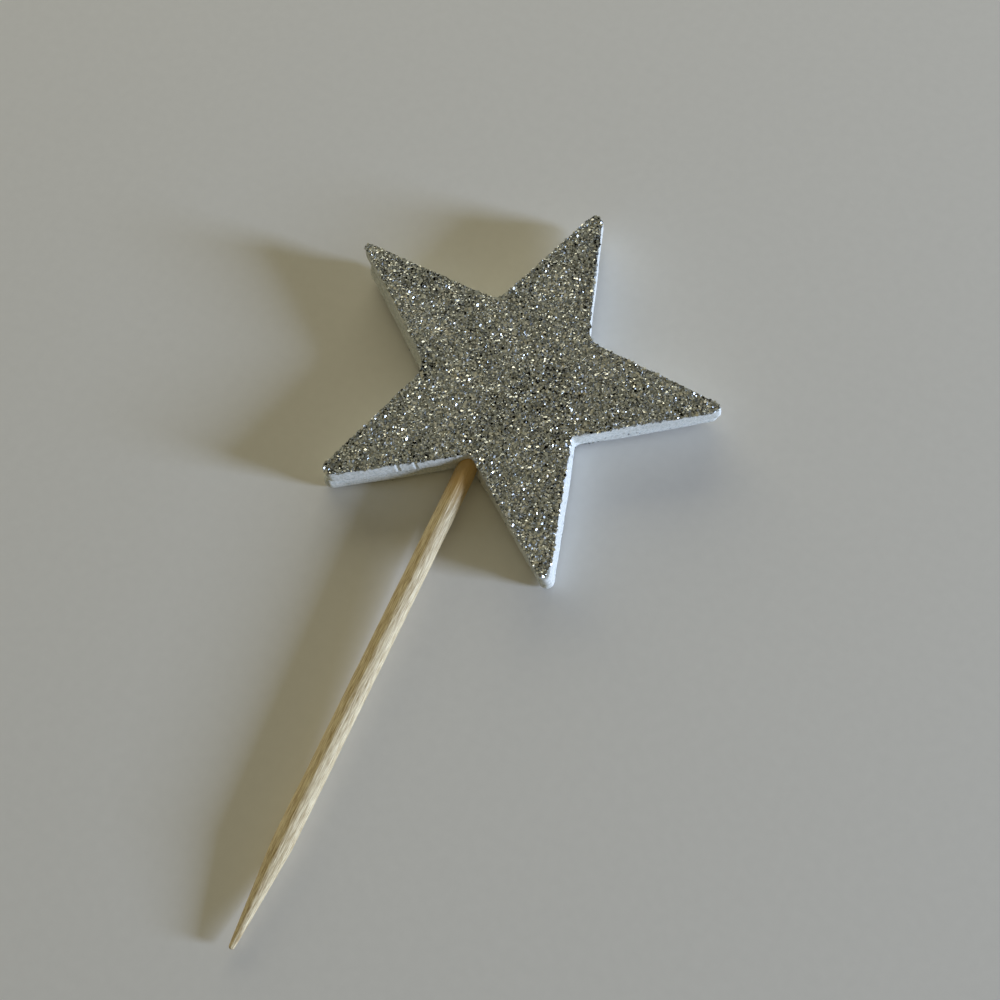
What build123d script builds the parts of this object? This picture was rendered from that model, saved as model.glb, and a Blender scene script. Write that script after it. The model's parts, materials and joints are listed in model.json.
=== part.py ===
from build123d import *
from math import atan2, cos, degrees, radians, sin
import os

# A star topper: two stars of glitter foam sheet glued back to back over one end of a wooden pick.
# Millimetres. It lies face up as it is put down on a table: the back face is on Z = 0, the star's
# top point is towards +Y and the pick leaves towards -Y. The origin is the star's centre on that face.

# Star
points = 5
star_width = 46.0  # across the two side points, before they are rounded
inner_radius_share = 0.402  # inner corners against points
point_rounding = 0.5
corner_rounding = 0.8

# Glitter foam sheet, used twice
foam_thickness = 1.75
coat_thickness = 0.2
cut_lean = 0.2  # the foam spreads under the cutter, so its wall leans out from the coat to the seam

# The back star is cut a little full and was glued on by hand, slightly turned
back_margin = 0.1
back_turn = 1.0  # degrees

# Glue between the two stars
glue_thickness = 0.1
glue_setback = 0.8  # from the edge of the front star

# Pick, pointed at both ends
pick_length = 65.0
pick_diameter = 2.3
pick_taper = 10.8
pick_point_diameter = 0.6
pick_point_rounding = 0.25
pick_reach = 9.0  # the end held in the star, from the inner corner
pick_skew = 2.1  # degrees from the star's centre line
bed_clearance = 0.03  # between the pick and the foam pressed round it

# Derived: the star's edges all lie at one distance from its centre
half_step = 180 / points
star_radius = star_width / (2 * sin(radians(2 * half_step)))
inner_radius = star_radius * inner_radius_share
arm_half_width = inner_radius * sin(radians(half_step))
arm_length = star_radius - inner_radius * cos(radians(half_step))
edge_distance = star_radius * sin(atan2(arm_half_width, arm_length))
lean_angle = degrees(atan2(cut_lean, foam_thickness))

# Derived: heights of the layers, from the table up
back_foam_height = coat_thickness
glue_height = back_foam_height + foam_thickness
seam_height = glue_height + glue_thickness / 2
front_foam_height = glue_height + glue_thickness


def star_outline(plane, margin):
    """A star with rounded points and inner corners, its edges moved outward by the margin."""
    growth = (edge_distance + margin) / edge_distance
    corners = []
    for step in range(2 * points):
        radius = growth * (star_radius if step % 2 == 0 else inner_radius)
        angle = radians(90 + step * half_step)
        corners.append((radius * cos(angle), radius * sin(angle)))
    with BuildSketch(plane) as outline:
        with BuildLine():
            Polyline(*corners, close=True)
        make_face()
        fillet(outline.vertices().group_by(SortBy.DISTANCE)[-1], point_rounding)
        fillet(outline.vertices().group_by(SortBy.DISTANCE)[0], corner_rounding)
    return outline.sketch


def pick_half_section(plane, clearance):
    """Half of the pick's long section, with the plane's Y along the pick and towards the star."""
    shaft_radius = pick_diameter / 2 + clearance
    point_radius = pick_point_diameter / 2 + clearance
    inner_end = pick_reach + clearance
    outer_end = pick_reach - pick_length - clearance
    with BuildSketch(plane) as half_section:
        with BuildLine():
            Polyline(
                (0, inner_end),
                (point_radius, inner_end),
                (shaft_radius, inner_end - pick_taper),
                (shaft_radius, outer_end + pick_taper),
                (point_radius, outer_end),
                (0, outer_end),
                close=True,
            )
        make_face()
        ends = half_section.vertices().group_by(Axis.Y)
        fillet([group.sort_by(Axis.X)[-1] for group in (ends[0], ends[-1])], pick_point_rounding)
    return half_section.sketch


# The pick's plane starts in the inner corner opposite the top point, half-way through the star
pick_plane = Plane((0, -inner_radius, seam_height)).rotated((0, 0, pick_skew))
pick_axis = Axis(pick_plane.origin, pick_plane.y_dir)

# Wooden pick, turned round with a long taper at each end
with BuildPart() as pick:
    revolve(pick_half_section(pick_plane, 0), axis=pick_axis)

# The bed that the pick presses into the foam, half in each star
with BuildPart() as pick_bed:
    revolve(pick_half_section(pick_plane, bed_clearance), axis=pick_axis)

# Front star: foam from the seam up, its wall leaning in towards the coat
with BuildPart() as front_foam:
    front_seam_face = star_outline(Plane.XY.offset(front_foam_height), cut_lean)
    extrude(front_seam_face, amount=foam_thickness, taper=lean_angle)
    add(pick_bed.part, mode=Mode.SUBTRACT)

# Glitter coat over the whole face of the front star
with BuildPart() as front_glitter:
    extrude(front_foam.faces().sort_by(Axis.Z)[-1], amount=coat_thickness)

# Back star: the same sheet turned over, so that its foam meets the front star's
back_plane = Plane.XY.offset(glue_height).rotated((0, 0, back_turn))
with BuildPart() as back_foam:
    back_seam_face = star_outline(back_plane, back_margin + cut_lean)
    extrude(back_seam_face, amount=-foam_thickness, taper=lean_angle)
    add(pick_bed.part, mode=Mode.SUBTRACT)

# Glitter coat over the whole face of the back star, which lies on the table
with BuildPart() as back_glitter:
    extrude(back_foam.faces().sort_by(Axis.Z)[0], amount=coat_thickness)

# Film of glue, kept back from the edge and parted by the pick
with BuildPart() as glue:
    extrude(star_outline(Plane.XY.offset(glue_height), -glue_setback), amount=glue_thickness)
    add(pick_bed.part, mode=Mode.SUBTRACT)

pick.part.label = "pick"
front_foam.part.label = "front_foam"
front_glitter.part.label = "front_glitter"
back_foam.part.label = "back_foam"
back_glitter.part.label = "back_glitter"
glue.part.label = "glue"

os.makedirs("parts", exist_ok=True)
export_step(pick.part, "parts/pick.step")
export_step(front_foam.part, "parts/front_foam.step")
export_step(front_glitter.part, "parts/front_glitter.step")
export_step(back_foam.part, "parts/back_foam.step")
export_step(back_glitter.part, "parts/back_glitter.step")
export_step(glue.part, "parts/glue.step")
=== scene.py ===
import json
import math

import bpy
import numpy as np
from mathutils import Matrix, Vector, noise


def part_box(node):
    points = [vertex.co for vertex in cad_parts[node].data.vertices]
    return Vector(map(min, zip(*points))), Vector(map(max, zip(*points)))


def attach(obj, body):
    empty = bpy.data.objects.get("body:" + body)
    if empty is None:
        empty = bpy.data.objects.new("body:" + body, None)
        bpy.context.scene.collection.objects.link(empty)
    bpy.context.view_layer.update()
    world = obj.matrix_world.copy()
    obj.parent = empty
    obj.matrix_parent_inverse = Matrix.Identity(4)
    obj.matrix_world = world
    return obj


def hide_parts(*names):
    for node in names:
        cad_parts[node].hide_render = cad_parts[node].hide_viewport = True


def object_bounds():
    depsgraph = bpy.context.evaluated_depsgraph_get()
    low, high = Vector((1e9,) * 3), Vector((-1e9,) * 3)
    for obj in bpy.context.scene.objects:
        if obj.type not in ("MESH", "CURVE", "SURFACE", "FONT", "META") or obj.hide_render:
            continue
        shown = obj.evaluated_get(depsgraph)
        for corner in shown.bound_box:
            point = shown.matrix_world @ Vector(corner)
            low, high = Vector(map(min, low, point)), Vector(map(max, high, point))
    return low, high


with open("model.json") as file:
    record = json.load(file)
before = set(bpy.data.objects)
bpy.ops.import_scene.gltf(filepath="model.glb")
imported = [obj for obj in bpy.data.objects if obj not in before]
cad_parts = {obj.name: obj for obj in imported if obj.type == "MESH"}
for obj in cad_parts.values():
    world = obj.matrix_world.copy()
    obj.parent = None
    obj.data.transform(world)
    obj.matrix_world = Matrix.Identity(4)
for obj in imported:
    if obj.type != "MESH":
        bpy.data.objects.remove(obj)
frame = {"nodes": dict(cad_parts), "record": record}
cad_low, cad_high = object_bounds()


# Wooden pick
# A round birch pick, milled along the grain and drawn to a blunt point at each end. It is left bare, so the
# mill's shallow facets, furrows and lifted fibres show. The end the star holds is painted amber, partly for
# the stain of the star's glue and partly as painted shade from the star's lower arm.

mm = 0.001
shaft = next(mount for mount in frame["record"]["mounts"] if mount["name"] == "pick_shaft")
shaft_radius = shaft["dims"]["r_mm"] * mm
shaft_length = shaft["dims"]["length_mm"] * mm
pick_taper = 10.8 * mm
half_length = shaft_length / 2 + pick_taper
point_radius = 0.3 * mm
point_rounding = 0.25 * mm
facets = 8
facet_depth = 0.018 * mm
facet_turn = math.radians(65)
furrow_width = 0.14 * mm
furrow_length = 3 * mm
furrow_depth = 0.03 * mm
flat_width = 1.2 * mm
flat_length = 18 * mm
flat_depth = 0.015 * mm
pick_sides = 128
pick_rings = 300
point_rings = 6
pick_turn = Vector(shaft["axis"]).to_track_quat("Z", "Y").to_matrix().to_4x4()
pick_place = Matrix.Translation(shaft["pos_m"]) @ pick_turn


def put(name, data):
    """A new object in the scene, made from its mesh, lamp or camera."""
    made = bpy.data.objects.new(name, data)
    bpy.context.scene.collection.objects.link(made)
    return made


def skin_rings(name, rings, ends=None):
    """A closed mesh over rings of equally many points, each end drawn to a point or shut by a flat face."""
    around = len(rings[0])
    top = (len(rings) - 1) * around
    vertices = [tuple(place) for ring in rings for place in ring]
    faces = []
    for k in range(around):
        after = (k + 1) % around
        for here in range(0, top, around):
            faces.append((here + k, here + after, here + around + after, here + around + k))
        if ends:
            faces.append((after, k, top + around))
            faces.append((top + k, top + after, top + around + 1))
    if ends:
        vertices += ends
    else:
        faces += [tuple(reversed(range(around))), tuple(range(top, top + around))]
    mesh = bpy.data.meshes.new(name)
    mesh.from_pydata(vertices, [], faces)
    for face in mesh.polygons:
        face.use_smooth = len(face.vertices) < around
    return put(name, mesh)


def pick_radius(along):
    """Radius of the pick at a distance from the middle of its shaft."""
    past = max(abs(along) - shaft_length / 2, 0) / pick_taper
    radius = shaft_radius + (point_radius - shaft_radius) * past
    left = (1 - past) * pick_taper / point_rounding
    return radius * math.sqrt(max(1 - (1 - min(left, 1)) ** 2, 0))


def turned_rings(stations, around, clearance, roughness):
    """Rings of the pick's profile, moved out by a clearance and by a roughness of angle and place."""
    rings = []
    for along in stations:
        ring = []
        for k in range(around):
            angle = 2 * math.pi * k / around
            radius = pick_radius(along) + clearance + roughness(angle, along)
            ring.append((radius * math.cos(angle), radius * math.sin(angle), along))
        rings.append(np.array(ring))
    return rings


def mill_marks(angle, along):
    """Height of the facets, furrows and broad flats that milling leaves, which fade out at the points."""
    height = -facet_depth * math.cos(facets * (angle - facet_turn))
    for width, length, depth in (
            (furrow_width, furrow_length, furrow_depth),
            (flat_width, flat_length, flat_depth),
            (furrow_width / 2, furrow_length / 2, furrow_depth / 2)):
        turns = shaft_radius / width
        place = Vector((math.cos(angle) * turns, math.sin(angle) * turns, along / length))
        height += depth * noise.noise(place)
    return height * min(pick_radius(along) / shaft_radius, 1)


stations = np.unique(np.concatenate((
    np.linspace(-half_length, -half_length + point_rounding, point_rings)[1:],
    np.linspace(-half_length, half_length, pick_rings)[2:-2],
    np.linspace(half_length - point_rounding, half_length, point_rings)[:-1],
)))
pick = skin_rings("wooden_pick", turned_rings(stations, pick_sides, 0, mill_marks),
                  [(0, 0, -half_length), (0, 0, half_length)])
pick.matrix_world = pick_place


def linear(code):
    """An sRGB hex colour as the linear RGBA that shaders take."""
    shares = [int(code[k:k + 2], 16) / 255 for k in (1, 3, 5)]
    return (*[s / 12.92 if s <= 0.04045 else ((s + 0.055) / 1.055) ** 2.4 for s in shares], 1.0)


def add(tree, kind, inputs=None, stops=(), **settings):
    """Adds a node with its settings and colour stops, and sets or links each input that is named."""
    made = tree.nodes.new(kind)
    for name, value in settings.items():
        setattr(made, name, value)
    for socket, value in (inputs or {}).items():
        if isinstance(value, bpy.types.NodeSocket):
            tree.links.new(value, made.inputs[socket])
        else:
            made.inputs[socket].default_value = value
    for k, (position, colour) in enumerate(stops):
        elements = made.color_ramp.elements
        stop = elements[k] if k < 2 else elements.new(position)
        stop.position = position
        stop.color = colour
    return made


def new_material(name):
    """A node material with no nodes yet, and its tree."""
    material = bpy.data.materials.new(name)
    material.use_nodes = True
    material.node_tree.nodes.clear()
    return material, material.node_tree


# Bare birch, milled: pale and almost matt, with raised fibres and short cream and tan streaks along it.
# Towards the star an even amber covers the streaks, up to a place given from the shaft's middle: partly a
# glue stain where glue has soaked in, partly painted shade from the star's lower arm.
grain_width = 0.13 * mm
grain_length = 1.45 * mm
fibre_height = 0.05 * mm
amber_shade_to = -20.4 * mm
amber_shade_fade = 3.4 * mm
birch, tree = new_material("bare birch, milled")
where = add(tree, "ShaderNodeTexCoord")
stretched = add(tree, "ShaderNodeMapping", {
    "Vector": where.outputs["Object"], "Scale": (1, 1, grain_width / grain_length)})
grain = add(tree, "ShaderNodeTexNoise", {
    "Vector": stretched.outputs[0], "Scale": 1 / grain_width, "Detail": 3, "Roughness": 0.55})
tint = add(tree, "ShaderNodeValToRGB", {"Fac": grain.outputs["Fac"]},
           stops=((0.26, linear("#AE915F")), (0.68, linear("#FFF0C8"))))
parts = add(tree, "ShaderNodeSeparateXYZ", {"Vector": where.outputs["Object"]})
# Painted shade over a glue stain: amber at the star end, fading out along the pick.
amber_shade = add(tree, "ShaderNodeMapRange", {
    "Value": parts.outputs["Z"], "From Min": amber_shade_to, "From Max": amber_shade_to + amber_shade_fade,
    "To Min": 1.0, "To Max": 0.0})
stained_and_shaded = add(tree, "ShaderNodeMix", {0: amber_shade.outputs[0], 6: tint.outputs["Color"], 7: linear("#D1AD70")},
              data_type="RGBA")
ridges = add(tree, "ShaderNodeBump", {
    "Height": grain.outputs["Fac"], "Strength": 0.8, "Distance": fibre_height})
wood = add(tree, "ShaderNodeBsdfPrincipled", {
    "Base Color": stained_and_shaded.outputs[2], "Roughness": 0.55, "Normal": ridges.outputs["Normal"]})
add(tree, "ShaderNodeOutputMaterial", {"Surface": wood.outputs[0]})
pick.data.materials.append(birch)
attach(pick, "root")
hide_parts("pick")


# Foam stars
# Two stars of white EVA craft foam, cut by hand from 2 mm sheet and glued back to back over the pick.
# The cut wall is slightly wavy with open pores, and no two points or inner corners come out alike.

star_points = 5
star_width = 46 * mm
star_radius = star_width / (2 * math.sin(2 * math.pi / star_points))
inner_share = 0.402
cut_spacing = 0.1 * mm
fewest_bend_pieces = 4
cut_wave = 0.12 * mm
cut_wave_length = 5 * mm
wall_rows = 17
pore_depth = 0.03 * mm
pore_size = 0.3 * mm
pocket_size = 4 * pore_size
edge_softness = 0.08 * mm
seam_softness = 0.3 * mm
softness_power = 6
roll_power = 4
bed_clearance = 0.03 * mm
bed_sides = 48
back_margin = 0.38 * mm
back_turn = math.radians(0.93)
back_shift = np.array((-0.09, 0.036)) * mm

# Millimetres, counter-clockwise from the top point: a point, then the corner after it. A rounding is a
# radius, and a reach is how far the corner stands out from where a true star has it.
front_roundings = (0.85, 1.4, 0.45, 2.3, 0.8, 0.9, 0.6, 0.4, 0.54, 1.9)
front_reaches = (0, 0, 0.55, 0, 0.6, 0, 0, -0.3, 0.3, 0)
back_roundings = (1.15, 1.4, 1.25, 2.3, 1.0, 0.9, 0.9, 0.9, 0.95, 1.9)
back_reaches = (0, 0, 0, 0, 0.5, 0, 0, 0, 0.35, 0)

# Dents by the corner that their edge starts from, the share along it, then half width and depth in
# millimetres. A negative depth is a fuller stretch. The front star has two nicks of the blade and one
# fuller stretch, and the back star has a fuller and a hollow one.
front_dents = ((4, 0.52, 0.22, 0.17), (4, 0.635, 0.2, 0.16), (7, 0.05, 5, -0.22))
back_dents = ((4, 0.5, 7, -0.1), (7, 0.08, 6, 0.3))


def star_corner(step, growth=1, turn=0):
    """A corner of the star, counter-clockwise from its top point. Odd steps lie between the points."""
    radius = star_radius * growth * (inner_share if step % 2 else 1)
    angle = turn + math.pi / 2 + step * math.pi / star_points
    return Vector((radius * math.cos(angle), radius * math.sin(angle)))


def cut_outline(margin, turn, roundings, reaches):
    """Points round a star, counter-clockwise from its top point, by its corners' roundings and reaches."""
    edge_distance = star_radius * math.sin(math.atan2(
        inner_share * math.sin(math.pi / star_points), 1 - inner_share * math.cos(math.pi / star_points)))
    corners = []
    for step in range(2 * star_points):
        corner = star_corner(step, 1 + margin / edge_distance, turn)
        corners.append(corner + corner.normalized() * reaches[step] * mm)
    bends = []
    for step, corner in enumerate(corners):
        back = (corners[step - 1] - corner).normalized()
        on = (corners[(step + 1) % len(corners)] - corner).normalized()
        half = back.angle(on) / 2
        rounding = roundings[step] * mm
        middle = corner + (back + on).normalized() * rounding / math.sin(half)
        start = corner + back * rounding / math.tan(half) - middle
        sweep = (math.pi - 2 * half) * (1 if step % 2 == 0 else -1)
        pieces = max(int(rounding * abs(sweep) / cut_spacing), fewest_bend_pieces)
        bends.append([middle + Matrix.Rotation(sweep * k / pieces, 2) @ start for k in range(pieces + 1)])
    path = []
    for bend, following in zip(bends, bends[1:] + bends[:1]):
        path += bend[:-1]
        run = following[0] - bend[-1]
        pieces = max(int(run.length / cut_spacing), 1)
        path += [bend[-1] + run * k / pieces for k in range(pieces)]
    return np.array(path)


def outward(outline):
    """Unit normals that point out of a counter-clockwise outline."""
    along = np.roll(outline, -1, axis=0) - np.roll(outline, 1, axis=0)
    normals = np.column_stack((along[:, 1], -along[:, 0]))
    return normals / np.linalg.norm(normals, axis=1, keepdims=True)


def hand_cut(outline, seed, wave, length):
    """The outline as a blade follows it, a little to either side."""
    drift = [wave * noise.noise(Vector((x / length, y / length, seed))) for x, y in outline]
    return outline + outward(outline) * np.array(drift)[:, None]


def dented(outline, dents):
    """The outline with dents on its edges, each with a low lip on either side."""
    depth = np.zeros(len(outline))
    for step, share, width, deep in dents:
        place = star_corner(step).lerp(star_corner(step + 1), share)
        along = (star_corner(step + 1) - star_corner(step)).normalized()
        off = np.linalg.norm(outline - np.array(place), axis=1) / (width * mm)
        facing = np.maximum(outward(outline) @ np.array((along.y, -along.x)), 0)
        depth += deep * mm * (1 - off ** 2) * np.exp(-off ** 2) * facing
    return outline - outward(outline) * depth[:, None]


def foam_star(name, outline, normals, seam, face, lean, bow, twist, drift, roll):
    """A closed star with rough walls that lean, twist and drift from its face to the seam."""
    rows = []
    for share in np.linspace(0, 1, wall_rows):
        height = seam + (face - seam) * share
        swell = (1 - share) ** bow
        softness = seam_softness if share < 0.5 else edge_softness
        spread = lean * swell
        spread -= roll * max(2 * share - 1, 0) ** roll_power
        spread -= softness * abs(2 * share - 1) ** softness_power
        rough = []
        for x, y in outline:
            place = Vector((x, y, height))
            rough.append(pore_depth * (noise.noise(place / pore_size) + noise.noise(place / pocket_size)))
        moved = outline + normals * (np.array(rough) + spread)[:, None]
        moved = moved @ np.array(Matrix.Rotation(-twist * swell, 2)) + np.array(drift) * swell
        rows.append(np.column_stack((moved, np.full(len(moved), height))))
    return skin_rings(name, rows if face > seam else rows[::-1])


# Cut EVA foam: matt and white, its colour painted darker in the fine pores as painted shade, and a little
# light passes through its edges.
cell_size = 0.22 * mm
cell_depth = 0.05 * mm
glow_depth = 0.8 * mm
foam, tree = new_material("EVA foam, cut edge")
where = add(tree, "ShaderNodeTexCoord")
pores = add(tree, "ShaderNodeTexNoise", {
    "Vector": where.outputs["Object"], "Scale": 1 / cell_size, "Detail": 3})
# Painted shade: the foam is darker where the pores sink.
shade = add(tree, "ShaderNodeValToRGB", {"Fac": pores.outputs["Fac"]},
            stops=((0.3, linear("#CDD4CF")), (0.6, linear("#F0F1EB"))))
pits = add(tree, "ShaderNodeBump", {
    "Height": pores.outputs["Fac"], "Strength": 0.4, "Distance": cell_depth})
foam_surface = add(tree, "ShaderNodeBsdfPrincipled", {
    "Base Color": shade.outputs["Color"], "Roughness": 0.85, "Normal": pits.outputs["Normal"],
    "Subsurface Weight": 0.25, "Subsurface Radius": (1, 1, 1), "Subsurface Scale": glow_depth})
add(tree, "ShaderNodeOutputMaterial", {"Surface": foam_surface.outputs[0]})

# The pick presses its own form into both stars
bed_end = -half_length / 2
bed_rings = turned_rings(stations[stations < bed_end], bed_sides, bed_clearance, lambda angle, along: 0)
bed = skin_rings("pick_bed", bed_rings, [(0, 0, -half_length - bed_clearance), (0, 0, bed_end)])
bed.matrix_world = pick_place

star_cuts = {
    "front": dict(margin=0, turn=0, shift=(0, 0), seed=1,
                  roundings=front_roundings, reaches=front_reaches, dents=front_dents),
    "back": dict(margin=back_margin, turn=back_turn, shift=back_shift, seed=7,
                 roundings=back_roundings, reaches=back_reaches, dents=back_dents),
}
star_walls = {
    "front": dict(lean=0.15 * mm, bow=0.7, twist=math.radians(0.4), drift=(0.22 * mm, -0.1 * mm), roll=0),
    "back": dict(lean=-0.28 * mm, bow=1.6, twist=0, drift=(0, 0), roll=0.15 * mm),
}
cut_edges = {}
for side, cut in star_cuts.items():
    low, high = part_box(side + "_foam")
    seam, face = (low.z, high.z) if side == "front" else (high.z, low.z)
    outline = cut_outline(cut["margin"], cut["turn"], cut["roundings"], cut["reaches"])
    outline = hand_cut(outline, cut["seed"], cut_wave, cut_wave_length)
    cut_edges[side] = dented(outline, cut["dents"]) + cut["shift"]
    star = foam_star(side + "_foam_star", cut_edges[side], outward(outline), seam, face, **star_walls[side])
    groove = star.modifiers.new("pick bed", "BOOLEAN")
    groove.object = bed
    groove.operation = "DIFFERENCE"
    groove.solver = "EXACT"
    bpy.context.view_layer.update()
    star.data = bpy.data.meshes.new_from_object(star.evaluated_get(bpy.context.evaluated_depsgraph_get()))
    star.modifiers.clear()
    star.data.materials.clear()
    star.data.materials.append(foam)
    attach(star, "root")
    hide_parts(side + "_foam")
bpy.data.objects.remove(bed)


# Glitter coats
# A clear binder is rolled over each star's outer face and strewn with flakes of aluminised polyester,
# which lie at all angles and over each other, curl over the cut edge and stray onto the foam.

binder_share = 0.4
flake_corners = 6
flake_pitch = 0.21 * mm
flake_radii = (0.085 * mm, 0.2 * mm)
small_flakes_power = 3
flake_lift = 0.08 * mm
flake_root = 0.06 * mm
front_flake_lean = math.radians(22)
back_flake_lean = math.radians(9)
steepest_flake = math.radians(60)
clump_size = 4.5 * mm
clump_depth = 0.24
rim_pitch = 0.2 * mm
rim_tips = (math.radians(25), math.radians(75))
stray_flakes = 100
stray_tips = (math.radians(70), math.radians(110))
rag_depth = 0.12 * mm
rag_length = 0.45 * mm
map_share = 0.36
chance = np.random.default_rng(11)

# The front coat follows its foam, with one point rounder and its rim worn back in places, given as dents
front_coat_roundings = (0.85, 1.4, 0.45, 2.3, 0.8, 0.9, 0.75, 0.4, 0.54, 1.9)
worn_rims = ((2, 0.5, 8, 0.28), (9, 0.5, 7, 0.15), (9, 0.92, 3, 0.15), (6, 0.1, 1.6, 0.3),
             (7, 0.97, 1.5, 0.3), (7, 0.06, 2.2, 0.2))
back_coat_setback = 0.45 * mm


def inside(outline, places):
    """Whether each place lies within the outline, by how often a ray to its right crosses it."""
    crossed = np.zeros(len(places), int)
    for (ax, ay), (bx, by) in zip(outline, np.roll(outline, -1, axis=0)):
        spans = (ay > places[:, 1]) != (by > places[:, 1])
        crossed[spans] += places[spans, 0] < ax + (places[spans, 1] - ay) * (bx - ax) / (by - ay)
    return crossed % 2 == 1


def strewn(outline, level, facing, lean):
    """Centres and normals of the flakes on a face: a close grid, shaken, each tipped some way."""
    columns = np.arange(outline[:, 0].min(), outline[:, 0].max(), flake_pitch)
    rows = np.arange(outline[:, 1].min(), outline[:, 1].max(), flake_pitch * math.sin(math.pi / 3))
    x, y = np.meshgrid(columns, rows)
    x[1::2] += flake_pitch / 2
    places = np.column_stack((x.ravel(), y.ravel()))
    places += chance.uniform(-0.5, 0.5, places.shape) * flake_pitch
    places = places[inside(outline, places)]
    count = len(places)
    tilt = np.minimum(abs(chance.normal(0, lean, count)), steepest_flake)
    aim = chance.uniform(0, 2 * math.pi, count)
    sideways = np.sin(tilt)
    normals = np.column_stack((sideways * np.cos(aim), sideways * np.sin(aim), facing * np.cos(tilt)))
    return np.column_stack((places, level + facing * chance.uniform(0, flake_lift, count))), normals


def on_edge(outline, count, low, high, facing, tips):
    """Centres and normals of flakes that stick to a cut edge between two heights, tipped outward."""
    picked = chance.integers(0, len(outline), count)
    height = chance.uniform(low, high, count)
    tip = chance.uniform(*tips, count)
    normals = np.column_stack((outward(outline)[picked] * np.sin(tip)[:, None], facing * np.cos(tip)))
    return np.column_stack((outline[picked], height)), normals


def flake_mesh(name, centres, normals):
    """Hexagonal flakes, each with a painted grey to white of its own for the shade and flash of its tilt,
    and closed below by a point rooted in the binder.
    """
    count = len(centres)
    across = np.cross(normals, chance.normal(size=(count, 3)))
    across /= np.linalg.norm(across, axis=1, keepdims=True)
    beside = np.cross(normals, across)
    least, most = flake_radii
    radius = least + (most - least) * chance.uniform(0, 1, (count, 1)) ** small_flakes_power
    rim = range(flake_corners)
    turns = [2 * math.pi * k / flake_corners for k in rim]
    hexagon = [(math.cos(turn), math.sin(turn)) for turn in turns]
    corners = [centres + radius * (x * across + y * beside) for x, y in hexagon]
    points = np.stack([*corners, centres - normals * flake_root], axis=1)
    points[..., 2] = np.maximum(points[..., 2], cad_low.z)
    patterns = [tuple(rim), *[((k + 1) % flake_corners, k, flake_corners) for k in rim]]
    firsts = range(0, count * (flake_corners + 1), flake_corners + 1)
    faces = [tuple(first + v for v in pattern) for first in firsts for pattern in patterns]
    mesh = bpy.data.meshes.new(name)
    mesh.from_pydata(points.reshape(-1, 3).tolist(), [], faces)

    # One painted value for all faces of a flake, standing for its shade and flash, lighter or darker in
    # clumps
    clumps = np.array([noise.noise(Vector(centre) / clump_size) for centre in centres])
    painted_shines = np.clip(chance.uniform(0, 1, count) + clump_depth * clumps, 0, 1)
    painted_shine = mesh.attributes.new("painted_shine", "FLOAT", "FACE")
    painted_shine.data.foreach_set("value", np.repeat(painted_shines, len(patterns)).astype(np.float32))

    # A cell of the texture map for each flake
    cells = math.ceil(math.sqrt(count))
    spots = (np.column_stack((np.arange(count) % cells, np.arange(count) // cells)) + 0.5) / cells
    spread = np.array([*hexagon, (0, 0)]) * map_share / cells
    order = [v for pattern in patterns for v in pattern]
    places_on_map = (spots[:, None, :] + spread[order][None, :, :]).reshape(-1)
    mesh.uv_layers.new(name="OFBake").data.foreach_set("uv", places_on_map.astype(np.float32))
    return put(name, mesh)


# Aluminised polyester: each flake is a small mirror, given a grey to white of its own that paints the shade
# and flashes its tilt would give. A few in a hundred are painted black as shade between flakes, most are
# grey and here and there one is painted to flash.
silver, tree = new_material("aluminised polyester flakes")
painted_shine = add(tree, "ShaderNodeAttribute", attribute_name="painted_shine")
# Painted shade and flashes: black for the few taken as shade between flakes, grey to white for how each
# flake's tilt catches light.
tint = add(tree, "ShaderNodeValToRGB", {"Fac": painted_shine.outputs["Fac"]}, stops=(
    (0, linear("#121212")), (0.045, linear("#1C1C1C")), (0.05, linear("#858888")),
    (0.35, linear("#BEC4C6")), (0.65, linear("#E0E6E9")), (0.85, linear("#F9FBF8")),
    (1, linear("#FFFFFC"))))
flake_surface = add(tree, "ShaderNodeBsdfPrincipled", {
    "Base Color": tint.outputs["Color"], "Metallic": 1.0, "Roughness": 0.33})
add(tree, "ShaderNodeOutputMaterial", {"Surface": flake_surface.outputs[0]})

# Acrylic binder: seen only between the flakes, where crumbs of glitter too fine to model lie in it at all
# angles. Its colour is painted dark as the shade between the flakes, with a painted grey for each crumb, so
# that it looks like darker glitter and not like a smooth ground.
crumb_size = 0.16 * mm
crumb_tilt = 0.9
binder, tree = new_material("acrylic binder, full of fine flakes")
where = add(tree, "ShaderNodeTexCoord")
crumbs = add(tree, "ShaderNodeTexVoronoi", {"Vector": where.outputs["Object"], "Scale": 1 / crumb_size})
painted_shine = add(tree, "ShaderNodeSeparateColor", {"Color": crumbs.outputs["Color"]})
# Painted shade between the flakes, with a painted grey for each crumb's glint.
tint = add(tree, "ShaderNodeValToRGB", {"Fac": painted_shine.outputs["Red"]},
           stops=((0, linear("#121211")), (1, linear("#CCD1D2"))))
centred = add(tree, "ShaderNodeVectorMath", {0: crumbs.outputs["Color"], 1: (0.5, 0.5, 0.5)},
              operation="SUBTRACT")
ground = add(tree, "ShaderNodeNewGeometry")
tipped = add(tree, "ShaderNodeVectorMath", {
    0: centred.outputs[0], 1: (crumb_tilt, crumb_tilt, crumb_tilt), 2: ground.outputs["Normal"]},
    operation="MULTIPLY_ADD")
facet = add(tree, "ShaderNodeVectorMath", {0: tipped.outputs[0]}, operation="NORMALIZE")
binder_surface = add(tree, "ShaderNodeBsdfPrincipled", {
    "Base Color": tint.outputs["Color"], "Metallic": 0.8, "Roughness": 0.4, "Normal": facet.outputs[0]})
add(tree, "ShaderNodeOutputMaterial", {"Surface": binder_surface.outputs[0]})

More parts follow.
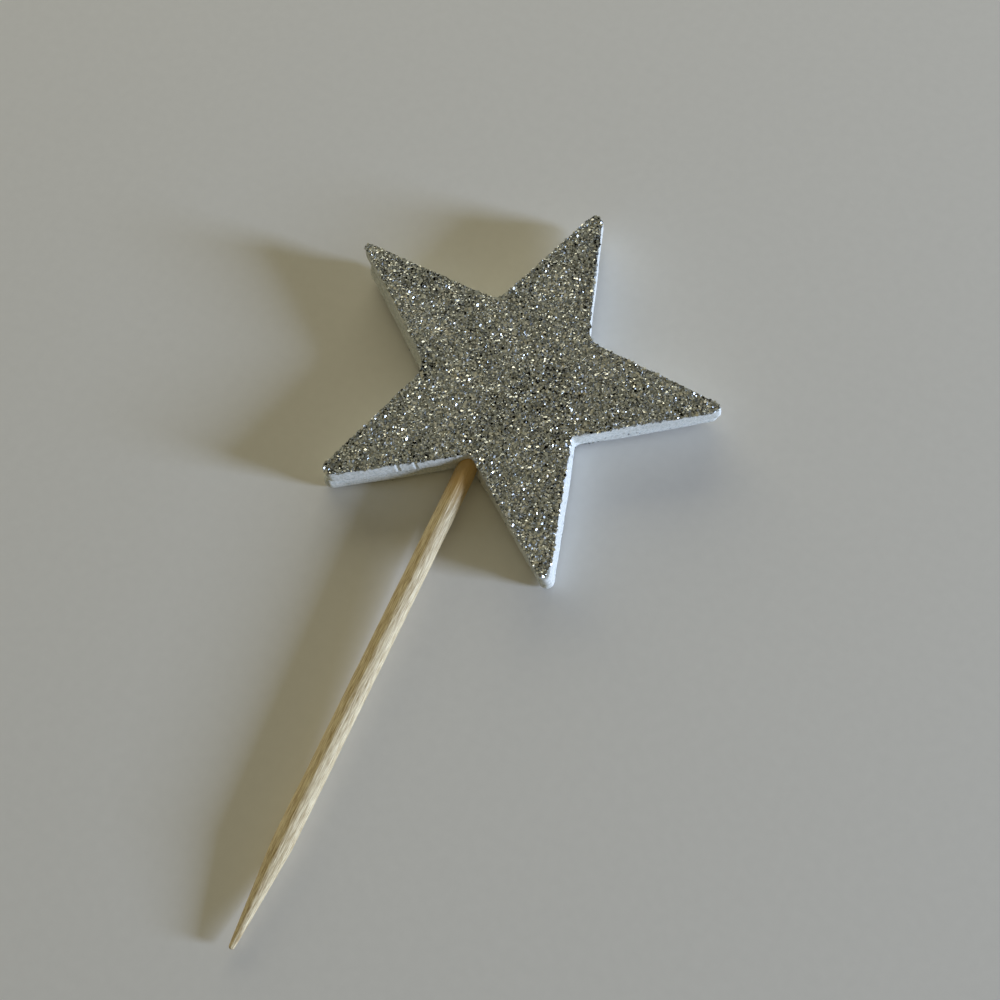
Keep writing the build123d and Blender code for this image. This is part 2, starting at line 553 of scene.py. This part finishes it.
for side, facing, margin, roundings, dents, lean in (
        ("front", 1, 0, front_coat_roundings, front_dents + worn_rims, front_flake_lean),
        ("back", -1, back_margin - back_coat_setback, back_roundings, (), back_flake_lean)):
    cut = star_cuts[side]
    low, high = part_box(side + "_glitter")
    base, outer = (low.z, high.z) if facing > 0 else (high.z, low.z)
    level = base + (outer - base) * binder_share
    heights = sorted((base, level))
    outline = cut_outline(margin, cut["turn"], roundings, cut["reaches"])
    outline = hand_cut(outline, cut["seed"], cut_wave, cut_wave_length)
    outline = hand_cut(dented(outline, dents) + cut["shift"], cut["seed"], rag_depth, rag_length)
    rims = [np.column_stack((outline, np.full(len(outline), height))) for height in heights]
    coat = skin_rings(side + "_binder", rims)
    coat.data.materials.append(binder)
    rim_flakes = int(np.linalg.norm(np.diff(outline, axis=0), axis=1).sum() / rim_pitch)
    low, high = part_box(side + "_foam")
    groups = [
        strewn(outline, level, facing, lean),
        on_edge(outline, rim_flakes, *heights, facing, rim_tips),
        on_edge(cut_edges[side], stray_flakes, low.z, high.z, facing, stray_tips),
    ]
    flakes = flake_mesh(side + "_flakes", *[np.concatenate(parts) for parts in zip(*groups)])
    flakes.data.materials.append(silver)
    for piece in (coat, flakes):
        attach(piece, "root")
        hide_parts(side + "_glitter")


# Glue
# A film of clear craft glue that holds the two stars together. It was spread by hand, keeps back from
# their edges and is parted by the pick.

# Set craft glue: glossy and all but clear, with a faint yellow that comes and goes in its ripples.
ripple_size = 1.5 * mm
glue, tree = new_material("clear craft glue, set")
where = add(tree, "ShaderNodeTexCoord")
ripples = add(tree, "ShaderNodeTexNoise", {"Vector": where.outputs["Object"], "Scale": 1 / ripple_size})
tint = add(tree, "ShaderNodeValToRGB", {"Fac": ripples.outputs["Fac"]},
           stops=((0, linear("#D8D3C2")), (1, linear("#EAE7DC"))))
film = add(tree, "ShaderNodeBsdfPrincipled", {
    "Base Color": tint.outputs["Color"], "Roughness": 0.25, "IOR": 1.47})
add(tree, "ShaderNodeOutputMaterial", {"Surface": film.outputs[0]})
glue_film = frame["nodes"]["glue"]
glue_film.data.materials.clear()
glue_film.data.materials.append(glue)


# Paper
# The plain pale sheet that the topper lies on. It touches the star's two lower points and the pick, whose
# shaft stands clear of the star's back, so that the sheet rises a little towards the pick.

floor_reach = 4.0
floor_gap = 0.06 * mm
floor_corners = [(x * floor_reach, y * floor_reach, 0) for x, y in ((-1, -1), (1, -1), (1, 1), (-1, 1))]
floor_mesh = bpy.data.meshes.new("paper")
floor_mesh.from_pydata(floor_corners, [], [(0, 1, 2, 3)])
shaft_end = pick_place @ Vector((0, 0, shaft_length / 2))
star_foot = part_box("back_glitter")[0].y
sheet_rise = math.atan2(shaft_end.z - shaft_radius, star_foot - shaft_end.y)
floor = put("paper", floor_mesh)
floor.location = (0, star_foot, -floor_gap)
floor.rotation_euler.x = -sheet_rise

# Plain paper: matt and pale, with the faint mottling of its fibres.
fibre_clump = 1.2 * mm
paper, tree = new_material("plain paper")
where = add(tree, "ShaderNodeTexCoord")
fibres = add(tree, "ShaderNodeTexNoise", {
    "Vector": where.outputs["Object"], "Scale": 1 / fibre_clump, "Detail": 3})
tint = add(tree, "ShaderNodeValToRGB", {"Fac": fibres.outputs["Fac"]},
           stops=((0, linear("#E6E5E1")), (1, linear("#ECEBE7"))))
sheet = add(tree, "ShaderNodeBsdfPrincipled", {"Base Color": tint.outputs["Color"], "Roughness": 0.9})
add(tree, "ShaderNodeOutputMaterial", {"Surface": sheet.outputs[0]})
floor_mesh.materials.append(paper)


# Light
# A cool window-like panel low on the right, a warm wall behind the topper, and a dim, warm room that is
# darkest part of the way up and, overhead, more orange on its near side.

# Towards the right and the near side of the photograph, along the paper
right_way = Vector((0.889, 0.456, 0)).normalized()
front_way = Vector((0.456, -0.889, 0)).normalized()

# Direction, degrees above the paper, distance, width and height in metres, watts and colour
for name, way, height, distance, width, tall, power, code in (
        ("window", right_way + 0.24 * front_way, 13.0, 1.2, 0.24, 0.27, 16.0, "#CFE0FF"),
        ("warm_wall", -front_way - 0.2 * right_way, 20, 0.8, 1.0, 0.35, 2.6, "#FFF7D7")):
    panel = bpy.data.lights.new(name, "AREA")
    panel.shape = "RECTANGLE"
    panel.size = width
    panel.size_y = tall
    panel.energy = power
    panel.color = linear(code)[:3]
    rise = math.radians(height)
    aim = way.normalized() * math.cos(rise) + Vector((0, 0, math.sin(rise)))
    lamp = put(name, panel)
    lamp.location = aim * distance
    lamp.rotation_mode = "QUATERNION"
    lamp.rotation_quaternion = aim.to_track_quat("Z", "Y")
    lamp.visible_camera = False

# The room's linear light at the horizon, at its darkest height and overhead
dark_height = 0.4
far_room = ((0.2, 0.21, 0.16), (0.015, 0.015, 0.03), (0.285, 0.272, 0.185))
near_room = ((0.2, 0.21, 0.16), (0.01, 0.008, 0.006), (0.288, 0.24, 0.125))
room = bpy.data.worlds.new("room")
bpy.context.scene.world = room
room.use_nodes = True
tree = room.node_tree
tree.nodes.clear()
where = add(tree, "ShaderNodeTexCoord")
parts = add(tree, "ShaderNodeSeparateXYZ", {"Vector": where.outputs["Generated"]})
far, near = [add(tree, "ShaderNodeValToRGB", {"Fac": parts.outputs["Z"]},
                 stops=((0, (*low, 1)), (1, (*top, 1)), (dark_height, (*dark, 1))))
             for low, dark, top in (far_room, near_room)]
toward = add(tree, "ShaderNodeVectorMath", {0: where.outputs["Generated"], 1: front_way},
             operation="DOT_PRODUCT")
nearness = add(tree, "ShaderNodeMapRange", {
    "Value": toward.outputs["Value"], "From Min": -0.5, "From Max": 0.5})
around = add(tree, "ShaderNodeMix", {
    0: nearness.outputs[0], 6: far.outputs["Color"], 7: near.outputs["Color"]}, data_type="RGBA")
sky = add(tree, "ShaderNodeBackground", {"Color": around.outputs[2], "Strength": 1.0})
add(tree, "ShaderNodeOutputWorld", {"Surface": sky.outputs[0]})


# Camera
# A fairly wide lens, held over the topper as in the photograph: off to the right of the pick, with a
# slight roll.

camera_place = Vector((20.63, -34.95, 108.62)) * mm
camera_target = Vector((5.26, -12.95, 4.0)) * mm
camera_roll = math.radians(-8.01)
view = bpy.data.cameras.new("camera")
view.sensor_width = 36
view.lens = 36
view.clip_start = 1 * mm
aim = (camera_target - camera_place).to_track_quat("-Z", "Y").to_matrix()
look = aim @ Matrix.Rotation(camera_roll, 3, "Z")
camera = put("camera", view)
camera.matrix_world = Matrix.Translation(camera_place) @ look.to_4x4()
bpy.context.scene.camera = camera
bpy.context.scene.view_settings.view_transform = "Standard"

bpy.context.view_layer.update()
